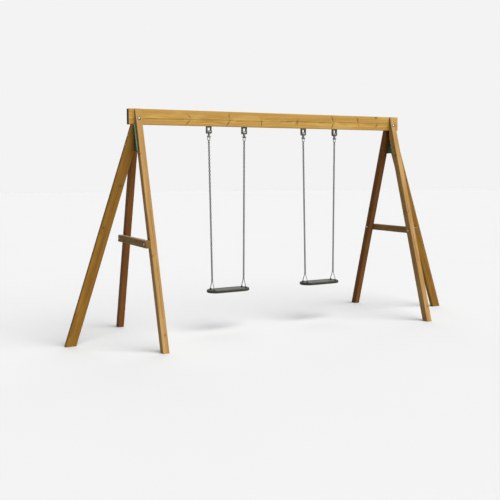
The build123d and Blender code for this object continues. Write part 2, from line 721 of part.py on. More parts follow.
for end, _ in ENDS:
    with BuildPart() as bails:
        for x in BAIL_X[end]:
            with BuildLine(Plane.YZ.offset(x)) as bail_path:
                FilletPolyline(
                    (-BAIL_SPREAD / 2, BAIL_END_Z),
                    (-BAIL_SPREAD / 2, BAIL_FOOT_Z),
                    (0, BAIL_CORNER),
                    (BAIL_SPREAD / 2, BAIL_FOOT_Z),
                    (BAIL_SPREAD / 2, BAIL_END_Z),
                    radius=[BAIL_FOOT_BEND, BAIL_BEND, BAIL_FOOT_BEND],
                )
            with BuildSketch(Plane((x, -BAIL_SPREAD / 2, BAIL_END_Z))):
                Circle(BAIL_WIRE_R)
            sweep(path=bail_path.wire())
    save(bails, f"{end}_seat_bails")

# Seats ----------------------------------------------------------------------------

INSERT_LENGTH = SEAT_LENGTH - 2 * INSERT_MARGIN
INSERT_WIDTH = SEAT_WIDTH - 2 * INSERT_MARGIN


def bail_feet(end, level, facing):
    """A plane at each bail foot of one seat, at a level, facing up or down."""
    return [
        Plane((x, y, level), z_dir=(0, 0, facing))
        for x in BAIL_X[end]
        for y in BAIL_FOOT_Y
    ]


for end, end_sign in ENDS:
    centre = end_sign * SWING_CENTRE
    with BuildPart() as seat_pad:
        with BuildSketch(Plane((centre, 0, SEAT_BOTTOM))):
            SlotOverall(SEAT_LENGTH, SEAT_WIDTH)
        extrude(amount=SEAT_THICKNESS)
        rims = seat_pad.faces().filter_by(Axis.Z).edges()
        fillet(rims, SEAT_EDGE)
        with BuildSketch(Plane((centre, 0, SEAT_TOP))):
            SlotOverall(SEAT_LENGTH - 2 * SEAT_RIM, SEAT_WIDTH - 2 * SEAT_RIM)
        extrude(amount=-SEAT_DISH, mode=Mode.SUBTRACT)
        with BuildSketch(Plane((centre, 0, INSERT_Z))):
            SlotOverall(INSERT_LENGTH + 2 * INSERT_PLAY, INSERT_WIDTH + 2 * INSERT_PLAY)
        half_cavity = INSERT_THICKNESS / 2 + INSERT_PLAY
        extrude(amount=half_cavity, both=True, mode=Mode.SUBTRACT)
        for foot in bail_feet(end, SEAT_TOP, 1):
            cut_bore(foot, BAIL_WIRE_R + DRILL_CLEARANCE, SEAT_THICKNESS)
        for foot in bail_feet(end, SEAT_BOTTOM, -1):
            cut_bore(foot, SEAT_NUT_RECESS_R, SEAT_NUT_RECESS_DEPTH)
    save(seat_pad, f"{end}_seat_pad")

    with BuildPart() as insert:
        with BuildSketch(Plane((centre, 0, INSERT_Z))):
            SlotOverall(INSERT_LENGTH, INSERT_WIDTH)
            with Locations(*[(x - centre, y) for x in BAIL_X[end] for y in BAIL_FOOT_Y]):
                Circle(BAIL_WIRE_R + DRILL_CLEARANCE, mode=Mode.SUBTRACT)
        extrude(amount=INSERT_THICKNESS / 2, both=True)
    save(insert, f"{end}_seat_insert")

    with BuildPart() as bosses:
        for foot in bail_feet(end, SEAT_TOP - SEAT_DISH, 1):
            with BuildSketch(foot) as ring:
                Circle(BOSS_R)
                Circle(BAIL_WIRE_R + DRILL_CLEARANCE, mode=Mode.SUBTRACT)
            extrude(amount=BOSS_HEIGHT)
    save(bosses, f"{end}_seat_bosses")

    with BuildPart() as seat_washers:
        for foot in bail_feet(end, NUT_SEAT_Z, -1):
            add_washer(foot, SEAT_WASHER_R, BAIL_WIRE_R)
    save(seat_washers, f"{end}_seat_washers")

    with BuildPart() as seat_nuts:
        for foot in bail_feet(end, NUT_SEAT_Z - WASHER_THICKNESS, -1):
            add_nut(foot, SEAT_NUT_FLATS, SEAT_NUT_HEIGHT, BAIL_WIRE_R)
    save(seat_nuts, f"{end}_seat_nuts")
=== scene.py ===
"""Looks of a two-seat timber swing set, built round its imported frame.

Metres. +X runs along the beam, +Z is up, and the ground is z = 0.
"""

import logging
import math
from dataclasses import dataclass
from enum import Enum
from typing import Callable, Sequence, Union

import bmesh
import bpy
from mathutils import Matrix, Vector, noise


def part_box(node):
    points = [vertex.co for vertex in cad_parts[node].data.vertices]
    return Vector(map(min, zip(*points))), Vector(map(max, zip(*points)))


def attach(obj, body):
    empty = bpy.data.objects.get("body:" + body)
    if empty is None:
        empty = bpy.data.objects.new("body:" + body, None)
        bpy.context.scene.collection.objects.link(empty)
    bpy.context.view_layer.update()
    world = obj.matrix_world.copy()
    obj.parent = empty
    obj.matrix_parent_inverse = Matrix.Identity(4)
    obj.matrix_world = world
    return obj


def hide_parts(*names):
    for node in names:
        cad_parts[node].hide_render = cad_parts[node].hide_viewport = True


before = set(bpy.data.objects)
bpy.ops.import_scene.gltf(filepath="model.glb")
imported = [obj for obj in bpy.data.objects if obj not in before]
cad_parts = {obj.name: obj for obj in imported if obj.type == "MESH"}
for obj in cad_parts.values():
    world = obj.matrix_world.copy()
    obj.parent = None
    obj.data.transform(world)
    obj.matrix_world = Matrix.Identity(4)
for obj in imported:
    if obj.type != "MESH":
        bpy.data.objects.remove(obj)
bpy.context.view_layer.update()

log = logging.getLogger("swing_set")

Socket = bpy.types.NodeSocket
Value = Union[float, Socket]
Colour = tuple[float, float, float]
ENDS = (("left", -1), ("right", 1))
FACES = (("front", -1), ("back", 1))
SIDES = ("left", "right")


class Slot(Enum):
    """Material slots of the record."""

    TIMBER = "timber"
    GREEN_STEEL = "green_steel"
    GALVANISED = "galvanised_steel"
    NYLON = "bush_nylon"
    SEAT_RUBBER = "seat_rubber"
    BOSS_RUBBER = "boss_rubber"


class Side(Enum):
    """The four long faces of a board, by its two across directions."""

    DEPTH_PLUS = 0
    WIDTH_PLUS = 1
    DEPTH_MINUS = 2
    WIDTH_MINUS = 3


# Node wiring ----------------------------------------------------------------------


class Wiring:
    """A new material with its surface shader, and short ways to add nodes to it."""

    def __init__(self, name: str) -> None:
        """Start a material.

        Args:
            name: Name of the material.
        """
        self.material = bpy.data.materials.new(name)
        self.material.use_nodes = True
        self.tree = self.material.node_tree
        self.surface = self.tree.nodes["Principled BSDF"]
        self.place = self.tree.nodes.new("ShaderNodeTexCoord").outputs["Object"]

    def feed(self, socket: Socket, value: object) -> None:
        """Link a socket to another, or set its own value.

        Args:
            socket: The input.
            value: An output socket, a number or a tuple.
        """
        if isinstance(value, bpy.types.NodeSocket):
            self.tree.links.new(value, socket)
        elif value is not None:
            socket.default_value = value

    def number(self, operation: str, *values: Value) -> Socket:
        """Add a maths node.

        Args:
            operation: Blender's name of the operation.
            values: Its inputs.

        Returns:
            The answer.
        """
        node = self.tree.nodes.new("ShaderNodeMath")
        node.operation = operation
        for socket, value in zip(node.inputs, values):
            self.feed(socket, value)
        return node.outputs[0]

    def times(self, first: Value, second: Value) -> Socket:
        """Multiply two numbers."""
        return self.number("MULTIPLY", first, second)

    def vector(self, operation: str, *values: object) -> Socket:
        """Add a vector maths node.

        Args:
            operation: Blender's name of the operation.
            values: Its vector inputs.

        Returns:
            The vector, or the number for a dot product or a length.
        """
        node = self.tree.nodes.new("ShaderNodeVectorMath")
        node.operation = operation
        for socket, value in zip(node.inputs, values):
            self.feed(socket, value)
        single = operation in ("DOT_PRODUCT", "LENGTH", "DISTANCE")
        return node.outputs["Value" if single else "Vector"]

    def join(self, x: Value, y: Value, z: Value) -> Socket:
        """Join three numbers into a vector.

        Args:
            x: Its first number.
            y: Its second number.
            z: Its third number.

        Returns:
            The vector.
        """
        node = self.tree.nodes.new("ShaderNodeCombineXYZ")
        for socket, value in zip(node.inputs, (x, y, z)):
            self.feed(socket, value)
        return node.outputs[0]

    def noise(self, place: Socket, scale: float, detail: float = 3.0, rough: float = 0.5) -> Socket:
        """Add a noise texture.

        Args:
            place: Where it is read.
            scale: Its scale.
            detail: Octaves.
            rough: Strength of the finer octaves.

        Returns:
            Its value, about 0.5 on average.
        """
        node = self.tree.nodes.new("ShaderNodeTexNoise")
        self.feed(node.inputs["Vector"], place)
        node.inputs["Scale"].default_value = scale
        node.inputs["Detail"].default_value = detail
        node.inputs["Roughness"].default_value = rough
        return node.outputs["Fac"]

    def cells(self, place: Socket, scale: float) -> Socket:
        """Add a cell texture.

        Args:
            place: Where it is read.
            scale: Its scale.

        Returns:
            Each cell's own shade.
        """
        node = self.tree.nodes.new("ShaderNodeTexVoronoi")
        self.feed(node.inputs["Vector"], place)
        node.inputs["Scale"].default_value = scale
        split = self.tree.nodes.new("ShaderNodeSeparateColor")
        self.tree.links.new(node.outputs["Color"], split.inputs[0])
        return split.outputs[0]

    def between(self, value: Value, low: float, high: float) -> Socket:
        """Scale a number so that low gives 0 and high gives 1.

        Args:
            value: The number.
            low: Its value at 0.
            high: Its value at 1.

        Returns:
            A number between 0 and 1.
        """
        node = self.tree.nodes.new("ShaderNodeMapRange")
        node.interpolation_type = "SMOOTHSTEP"
        self.feed(node.inputs["Value"], value)
        node.inputs["From Min"].default_value = low
        node.inputs["From Max"].default_value = high
        return node.outputs["Result"]

    def blend(self, amount: Value, first: object, second: object) -> Socket:
        """Mix two colours.

        Args:
            amount: Share of the second.
            first: A colour or a socket.
            second: A colour or a socket.

        Returns:
            The mixed colour.
        """
        node = self.tree.nodes.new("ShaderNodeMix")
        node.data_type = "RGBA"
        self.feed(node.inputs[0], amount)
        for socket, value in ((node.inputs[6], first), (node.inputs[7], second)):
            self.feed(socket, (*value, 1.0) if isinstance(value, tuple) else value)
        return node.outputs[2]

    def relief(self, height: Socket, depth: float, strength: float = 1.0) -> None:
        """Raise the surface by a height map.

        Args:
            height: The map, 0 to 1.
            depth: Metres between 0 and 1.
            strength: Share of the effect.
        """
        node = self.tree.nodes.new("ShaderNodeBump")
        node.inputs["Strength"].default_value = strength
        node.inputs["Distance"].default_value = depth
        self.feed(node.inputs["Height"], height)
        self.feed(self.surface.inputs["Normal"], node.outputs[0])

    def finish(self, colour: object, roughness: Value, metallic: float = 0.0) -> bpy.types.Material:
        """Set the surface's colour, roughness and metal.

        Args:
            colour: A colour or a socket.
            roughness: A number or a socket.
            metallic: 1 for bare metal.

        Returns:
            The material.
        """
        self.feed(self.surface.inputs["Base Color"], colour)
        self.feed(self.surface.inputs["Roughness"], roughness)
        self.surface.inputs["Metallic"].default_value = metallic
        return self.material


# Finishes -------------------------------------------------------------------------


@dataclass(frozen=True)
class Knot:
    """A knot in the board's own frame: round, or cut along as a tall branch mark.

    A branch mark has a half height across the grain and leans along it.
    """

    along: float
    depth: float
    width: float
    radius: float
    tall: float = 0.0
    lean: float = 0.0

    @property
    def squeeze(self) -> tuple[float, float, float]:
        """Scale of the distances from the knot's centre."""
        return (1.0, 0.4, self.radius / self.tall) if self.tall else (0.62, 0.5, 1.0)

    @property
    def darkness(self) -> float:
        """How far its heart reaches the knot's colour."""
        return 0.62 if self.tall else 0.85


@dataclass(frozen=True)
class Timber:
    """Impregnated softwood of one board, with rings, knots and end grain."""

    name: str
    early: Colour
    late: Colour
    origin: Vector
    along: Vector
    deep: Vector
    wide: Vector
    pith: tuple[float, float]
    seed: float
    knots: tuple[Knot, ...] = ()
    ring: float = 0.0055
    late_share: float = 0.62
    pale_share: float = 0.55
    fibre_share: float = 0.34
    halo_share: float = 0.42
    roughness: float = 0.56
    groove: float = 0.0006
    crack_colour: Colour = (0.05, 0.025, 0.010)
    knot_colour: Colour = (0.050, 0.022, 0.008)
    # End grain colour: near-black, partly the end grain's own darker tone and partly painted shade, as
    # the beam's end faces away from the front light.
    end_colour: Colour = (0.050, 0.022, 0.007)

    def board_place(self, wiring: Wiring) -> tuple[Socket, Socket, Socket]:
        """Turn a place into the board's own frame.

        Args:
            wiring: The finish being wired.

        Returns:
            The distances along, deep and wide.
        """
        local = wiring.vector("SUBTRACT", wiring.place, tuple(self.origin))
        return tuple(
            wiring.vector("DOT_PRODUCT", local, tuple(axis))
            for axis in (self.along, self.deep, self.wide)
        )

    def material(self) -> bpy.types.Material:
        """Build the finish.

        Returns:
            The material.
        """
        w = Wiring(self.name)
        along, deep, wide = self.board_place(w)
        shifted = w.number("ADD", along, self.seed)
        slow = w.join(w.times(shifted, 0.9), w.times(deep, 5.0),
                      w.times(wide, 5.0))
        wander = w.times(w.number("SUBTRACT", w.noise(slow, 1.6, 2.0), 0.5), 0.034)
        across_deep = w.number("SUBTRACT", w.number("ADD", deep, wander), self.pith[0])
        across_wide = w.number("SUBTRACT", w.number("ADD", wide, wander), self.pith[1])
        radius = w.vector("LENGTH", w.join(across_deep, across_wide, 0.0))
        core: Value = 0.0
        halo: Value = 0.0
        for knot in self.knots:
            offset = w.vector("SUBTRACT", w.join(along, deep, wide),
                              (knot.along, knot.depth, knot.width))
            slid = w.times(w.number("SUBTRACT", wide, knot.width), -knot.lean)
            offset = w.vector("ADD", offset, w.join(slid, 0.0, 0.0))
            near = w.vector("LENGTH", w.vector("MULTIPLY", offset, knot.squeeze))
            ragged = w.number("ADD", near, w.times(wander, 0.06))
            swell = w.between(ragged, knot.radius * 3.2, knot.radius * 0.6)
            heart = w.between(ragged, knot.radius, knot.radius * 0.6)
            core = w.number("MAXIMUM", core, w.times(heart, knot.darkness))
            halo = w.number("MAXIMUM", halo, swell)
            radius = w.number("ADD", radius, w.times(swell, knot.radius * 1.3))
        turn = w.number("FRACT", w.number("DIVIDE", radius, self.ring))
        late = w.times(w.between(turn, 0.25, 0.88), w.between(turn, 1.0, 0.93))
        fine = w.join(w.times(shifted, 2.2), w.times(deep, 260.0),
                      w.times(wide, 260.0))
        fibre = w.noise(fine, 1.0, 4.0, 0.6)
        streak_place = w.join(w.times(shifted, 0.8),
                              w.times(deep, 42.0), w.times(wide, 42.0))
        streak = w.noise(streak_place, 1.0, 3.0)
        patch = w.noise(slow, 3.4, 2.0)
        colour = w.blend(w.times(late, self.late_share), self.early, self.late)
        colour = w.blend(w.between(streak, 0.42, 0.68), colour,
                         w.blend(0.55, self.early, self.late))
        pale = tuple(min(1.0, c * s) for c, s in zip(self.early, (1.16, 1.22, 1.5)))
        paler = w.times(w.between(patch, 0.50, 0.72), self.pale_share)
        colour = w.blend(paler, colour, pale)
        darker = w.times(w.between(fibre, 0.35, 0.75), self.fibre_share)
        colour = w.blend(darker, colour, self.late)
        crack = w.times(w.between(fibre, 0.735, 0.78), w.between(streak, 0.45, 0.6))
        colour = w.blend(crack, colour, self.crack_colour)
        colour = w.blend(w.times(halo, self.halo_share), colour, self.late)
        colour = w.blend(core, colour, self.knot_colour)
        normal = w.tree.nodes.new("ShaderNodeTexCoord").outputs["Normal"]
        facing = w.number("ABSOLUTE", w.vector("DOT_PRODUCT", normal, tuple(self.along)))
        end = w.between(facing, 0.78, 0.92)
        ends = w.blend(w.times(late, 0.5), self.end_colour, self.knot_colour)
        colour = w.blend(end, colour, ends)
        rough = w.number("ADD", self.roughness, w.times(fibre, 0.22))
        height = w.number("ADD", w.times(late, 0.45), w.times(fibre, 0.7))
        height = w.number("SUBTRACT", height, w.times(crack, 1.2))
        w.relief(height, self.groove, 0.8)
        w.surface.inputs["Specular IOR Level"].default_value = 0.16
        return w.finish(colour, rough)


@dataclass(frozen=True)
class Galvanised:
    """Zinc-dipped steel: cloudy crystals, matt grey, darker where it rubs."""

    name: str
    light: Colour = (0.50, 0.51, 0.50)
    dark: Colour = (0.27, 0.28, 0.275)
    crystal: float = 160.0

    def material(self) -> bpy.types.Material:
        """Build the finish.

        Returns:
            The material.
        """
        w = Wiring(self.name)
        bent = w.vector("ADD", w.place, w.join(w.noise(w.place, 90.0), 0.0, 0.0))
        shade = w.cells(bent, self.crystal)
        cloud = w.noise(w.place, 38.0, 4.0)
        colour = w.blend(w.times(shade, 0.55), self.light, self.dark)
        colour = w.blend(w.between(cloud, 0.52, 0.72), colour, self.dark)
        dust = w.between(w.noise(w.place, 230.0, 3.0), 0.62, 0.75)
        colour = w.blend(w.times(dust, 0.5), colour, (0.62, 0.62, 0.60))
        rough = w.number("ADD", 0.34, w.times(cloud, 0.30))
        w.relief(w.noise(w.place, 420.0, 3.0), 0.00012, 0.6)
        return w.finish(colour, rough, metallic=0.85)


@dataclass(frozen=True)
class PowderCoat:
    """Dark green powder coat with a fine orange peel and a little dust."""

    name: str
    colour: Colour = (0.022, 0.075, 0.036)

    def material(self) -> bpy.types.Material:
        """Build the finish.

        Returns:
            The material.
        """
        w = Wiring(self.name)
        cloud = w.noise(w.place, 14.0, 4.0)
        dusty = tuple(c + 0.045 for c in self.colour)
        colour = w.blend(w.between(cloud, 0.46, 0.78), self.colour, dusty)
        speck = w.between(w.noise(w.place, 260.0, 2.0), 0.70, 0.74)
        colour = w.blend(w.times(speck, 0.6), colour, (0.16, 0.20, 0.16))
        rough = w.number("ADD", 0.30, w.times(cloud, 0.22))
        w.relief(w.noise(w.place, 650.0, 2.0), 0.00015, 0.5)
        return w.finish(colour, rough)


@dataclass(frozen=True)
class Moulded:
    """Moulded rubber or nylon with a fine grained skin and rubbed patches."""

    name: str
    colour: Colour
    rubbed: Colour
    roughness: float = 0.62
    grain: float = 900.0

    def material(self) -> bpy.types.Material:
        """Build the finish.

        Returns:
            The material.
        """
        w = Wiring(self.name)
        cloud = w.noise(w.place, 11.0, 4.0)
        skin = w.noise(w.place, self.grain, 2.0)
        colour = w.blend(w.between(cloud, 0.40, 0.70), self.colour, self.rubbed)
        colour = w.blend(w.times(w.between(skin, 0.55, 0.75), 0.35), colour,
                         self.rubbed)
        rough = w.number("ADD", self.roughness, w.times(cloud, 0.2))
        w.relief(skin, 0.00035, 0.7)
        w.surface.inputs["Specular IOR Level"].default_value = 0.28
        return w.finish(colour, rough)


# Shared mesh work -----------------------------------------------------------------


def new_piece(name: str, mesh: bmesh.types.BMesh, sharp: float = 32.0) -> bpy.types.Object:
    """Turn a bmesh into a piece with smooth faces and sharp corners.

    Args:
        name: Name of the piece.
        mesh: Its mesh, which is used up.
        sharp: Angle in degrees above which an edge stays sharp.

    Returns:
        The piece.
    """
    bmesh.ops.recalc_face_normals(mesh, faces=mesh.faces)
    for face in mesh.faces:
        face.smooth = True
    limit = math.radians(sharp)
    for edge in mesh.edges:
        edge.smooth = edge.calc_face_angle(0.0) < limit
    data = bpy.data.meshes.new(name)
    mesh.to_mesh(data)
    mesh.free()
    piece = bpy.data.objects.new(name, data)
    bpy.context.scene.collection.objects.link(piece)
    return piece


def bake_modifiers(piece: bpy.types.Object) -> None:
    """Turn a piece's modifiers into its mesh.

    Args:
        piece: The piece.
    """
    graph = bpy.context.evaluated_depsgraph_get()
    data = bpy.data.meshes.new_from_object(piece.evaluated_get(graph))
    piece.modifiers.clear()
    piece.data = data


def lathe(mesh: bmesh.types.BMesh, profile: Sequence[tuple[float, float]], foot: Vector,
          axis: Vector, segments: int = 40) -> None:
    """Turn a closed profile round an axis.

    Args:
        mesh: Mesh to add to.
        profile: Radius and height pairs, from one pole to the other.
        foot: Point on the axis at height 0.
        axis: Direction of height.
        segments: Steps round.
    """
    turn = axis.to_track_quat("Z", "Y").to_matrix().to_4x4()
    place = Matrix.Translation(foot) @ turn
    rings = []
    for radius, height in profile:
        if radius < 1e-7:
            rings.append([mesh.verts.new(place @ Vector((0, 0, height)))])
            continue
        rings.append([
            mesh.verts.new(place @ Vector((radius * math.cos(a), radius * math.sin(a), height)))
            for a in (2 * math.pi * n / segments for n in range(segments))
        ])
    for low, high in zip(rings, rings[1:]):
        for n in range(segments):
            m = (n + 1) % segments
            corners = [low[n % len(low)], low[m % len(low)], high[m % len(high)],
                       high[n % len(high)]]
            mesh.faces.new(list(dict.fromkeys(corners)))


def loft(mesh: bmesh.types.BMesh, rows: Sequence[Sequence[Sequence[float]]]
         ) -> list[list[bmesh.types.BMFace]]:
    """Skin closed rings of points, and close both ends.

    Args:
        mesh: Mesh to add to.
        rows: The rings, each with as many points as the others.

    Returns:
        The faces between each ring and the next, in the order of the points.
    """
    rings = [[mesh.verts.new(point) for point in row] for row in rows]
    skin = []
    for low, high in zip(rings, rings[1:]):
        steps = range(len(low))
        skin.append([mesh.faces.new((low[n], low[n - len(low) + 1], high[n - len(low) + 1],
                                     high[n])) for n in steps])
    mesh.faces.new(rings[0][::-1])
    mesh.faces.new(rings[-1])
    return skin


def cut(piece: bpy.types.Object, foot: Vector, axis: Vector, radius: float, depth: float) -> None:
    """Cut a round recess or bore into a piece.

    Args:
        piece: The piece.
        foot: Middle of the recess's floor, or of the bore's far end.
        axis: Direction out of the timber.
        radius: Radius of the cut.
        depth: Height of the cut along the axis.
    """
    mesh = bmesh.new()
    lathe(mesh, ((0, 0), (radius, 0), (radius, depth), (0, depth)), foot, axis, 48)
    cutter = new_piece("cutter", mesh)
    modifier = piece.modifiers.new("cut", "BOOLEAN")
    modifier.operation = "DIFFERENCE"
    modifier.solver = "EXACT"
    modifier.object = cutter
    bake_modifiers(piece)
    bpy.data.objects.remove(cutter)


def dress(piece: bpy.types.Object, *finishes: bpy.types.Material) -> None:
    """Give a piece its finishes.

    Args:
        piece: The piece.
        finishes: One for each of its faces' material numbers, in order.
    """
    while len(piece.data.materials) > len(finishes):
        piece.data.materials.pop()
    while len(piece.data.materials) < len(finishes):
        piece.data.materials.append(None)
    for number, finish in enumerate(finishes):
        piece.data.materials[number] = finish


def stand_for(piece: bpy.types.Object, node: str, body: str) -> None:
    """Let a piece ride on a body and stand for a frame node.

    Args:
        piece: The piece.
        node: The node it replaces.
        body: The body it rides on.
    """
    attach(piece, body)
    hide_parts(node)
    log.info("%s rides on %s and stands for %s", piece.name, body, node)


def ease_node(node: str, body: str, finish: bpy.types.Material,
              width: float) -> bpy.types.Object:
    """Rebuild a hard-edged node with small rounded edges.

    Args:
        node: The node.
        body: Body it rides on.
        finish: Its finish.
        width: Width of the rounded edges.

    Returns:
        The eased piece.
    """
    mesh = bmesh.new()
    mesh.from_mesh(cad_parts[node].data)
    bmesh.ops.remove_doubles(mesh, verts=mesh.verts, dist=1e-6)
    bmesh.ops.dissolve_limit(mesh, angle_limit=math.radians(1.0), verts=mesh.verts,
                             edges=mesh.edges)
    piece = new_piece(f"{node}_eased", mesh)
    modifier = piece.modifiers.new("ease", "BEVEL")
    modifier.width = width
    modifier.segments = 2
    modifier.limit_method = "ANGLE"
    modifier.angle_limit = math.radians(40.0)
    modifier.use_clamp_overlap = True
    modifier.harden_normals = True
    bake_modifiers(piece)
    dress(piece, finish)
    stand_for(piece, node, body)
    return piece


# Boards ---------------------------------------------------------------------------


@dataclass(frozen=True)
class DryingCheck:
    """A long shrinkage crack in one face of a board, at a share of its half width."""

    side: Side
    share: float
    start: float
    end: float
    width: float = 0.0011
    depth: float = 0.0035


@dataclass
class Board:
    """A sawn timber: sections along its length, with eased edges and checks.

    The section function gives, at a station, the middle and the two half sizes
    along the deep and wide directions.
    """

    name: str
    first: float
    last: float
    section: Callable[[float], tuple[Vector, float, float]]
    deep: Vector
    wide: Vector
    checks: tuple[DryingCheck, ...] = ()
    stops: tuple[float, ...] = ()
    warp: Callable[[Vector], Vector] = lambda point: point
    edge: float = 0.003
    spacing: float = 0.012
    corner_steps: int = 4
    side_steps: int = 7
    waviness: float = 0.0003
    end_ease: float = 0.0022
    check_drift: float = 0.006
    check_run_in: float = 0.18

    def ring(self) -> list[tuple[Side, float, float, float, float]]:
        """List a section's points.

        Returns:
            For each point its side, share across the side, and for a corner the
            outward direction, or 0, 0 for a point on a side; a check's points
            carry their check's number and step in place of the direction.
        """
        points = []
        for side in Side:
            shares = [(-1 + 2 * n / self.side_steps, 0.0, 0.0)
                      for n in range(self.side_steps + 1)]
            for number, check in enumerate(self.checks):
                if check.side is side:
                    gap = 1.2 / self.side_steps
                    shares = [s for s in shares if abs(s[0] - check.share) > gap * 0.5]
                    shares += [(check.share, number + 1.0, step) for step in (-1.0, 0.0, 1.0)]
            shares.sort(key=lambda s: (s[0], s[2]))
            points += [(side, *share, 0.0) for share in shares]
            points += [(side, 1.0, 0.0, 0.0, n / self.corner_steps)
                       for n in range(1, self.corner_steps)]
        return points

    def opening(self, check: DryingCheck, station: float) -> float:
        """Tell how far open a check is.

        Args:
            check: The check.
            station: Where along the board.

        Returns:
            A share from 0, closed, to 1.
        """
        low, high = sorted((check.start, check.end))
        if not low < station < high:
            return 0.0
        run_in = min(1.0, min(station - low, high - station) / (self.check_run_in * (high - low)))
        broken = 0.55 + 0.9 * noise.noise(Vector((station * 5.0, check.share * 9.0, 3.7)))
        return run_in * max(0.0, min(1.0, broken))

    def point(self, item: tuple[Side, float, float, float, float], station: float,
              inset: float) -> Vector:
        """Place one point of a section.

        Args:
            item: The point, as ring() lists it.
            station: Where along the board.
            inset: How far the section is drawn in, at the eased ends.

        Returns:
            The point.
        """
        side, share, number, step, arc = item
        middle, half_deep, half_wide = self.section(station)
        half_deep -= inset
        half_wide -= inset
        edge = min(self.edge, half_deep * 0.9, half_wide * 0.9)
        flat_deep, flat_wide = half_deep - edge, half_wide - edge
        turn = side.value * math.pi / 2
        angle = turn + arc * math.pi / 2
        out_deep, out_wide = math.cos(angle), math.sin(angle)
        if side in (Side.DEPTH_PLUS, Side.DEPTH_MINUS):
            sign = 1 if side is Side.DEPTH_PLUS else -1
            deep, wide = sign * flat_deep, sign * share * flat_wide
            limit = flat_wide
        else:
            sign = 1 if side is Side.WIDTH_PLUS else -1
            deep, wide = -sign * share * flat_deep, sign * flat_wide
            limit = flat_deep
        lower = 0.0
        if number:
            check = self.checks[int(number) - 1]
            widest = min(self.check_drift, limit * 0.3)
            drift = noise.noise(Vector((station * 1.7, number * 5.0, 0.4))) * widest
            slide = sign * (drift + step * check.width)
            if side in (Side.DEPTH_PLUS, Side.DEPTH_MINUS):
                wide += slide
            else:
                deep -= slide
            if step == 0.0:
                lower = check.depth * self.opening(check, station)
        if inset == 0.0:
            at = Vector((station * 9.0, deep * 26.0, wide * 26.0))
            lower += self.waviness * abs(noise.noise(at))
        out = edge - lower
        return self.warp(middle + self.deep * (deep + out_deep * out)
                         + self.wide * (wide + out_wide * out))

    def stations(self) -> list[tuple[float, float]]:
        """List the stations, closer together at the eased ends.

        Returns:
            Each station and how far its section is drawn in.
        """
        low, high = min(self.first, self.last), max(self.first, self.last)
        steps = max(2, round((high - low) / self.spacing))
        inner = {low + (high - low) * n / steps for n in range(1, steps)}
        inner |= set(self.stops)
        ease = self.end_ease
        inner = {s for s in inner if low + 2 * ease < s < high - 2 * ease}
        ends = [(low, ease), (low + ease * 0.3, ease * 0.3), (low + ease, 0.0)]
        far = [(high - ease, 0.0), (high - ease * 0.3, ease * 0.3), (high, ease)]
        return ends + [(s, 0.0) for s in sorted(inner)] + far

    def build(self) -> bpy.types.Object:
        """Build the board.

        Returns:
            The piece.
        """
        items = self.ring()
        places = self.stations()
        mesh = bmesh.new()
        skin = loft(mesh, [[self.point(item, station, inset) for item in items]
                           for station, inset in places])
        for (station, _), faces in zip(places, skin):
            for n, face in enumerate(faces):
                number = items[n][2]
                if number and number == items[n - len(items) + 1][2]:
                    opening = self.opening(self.checks[int(number) - 1], station)
                    face.material_index = int(opening > 0.1)
        return new_piece(self.name, mesh)


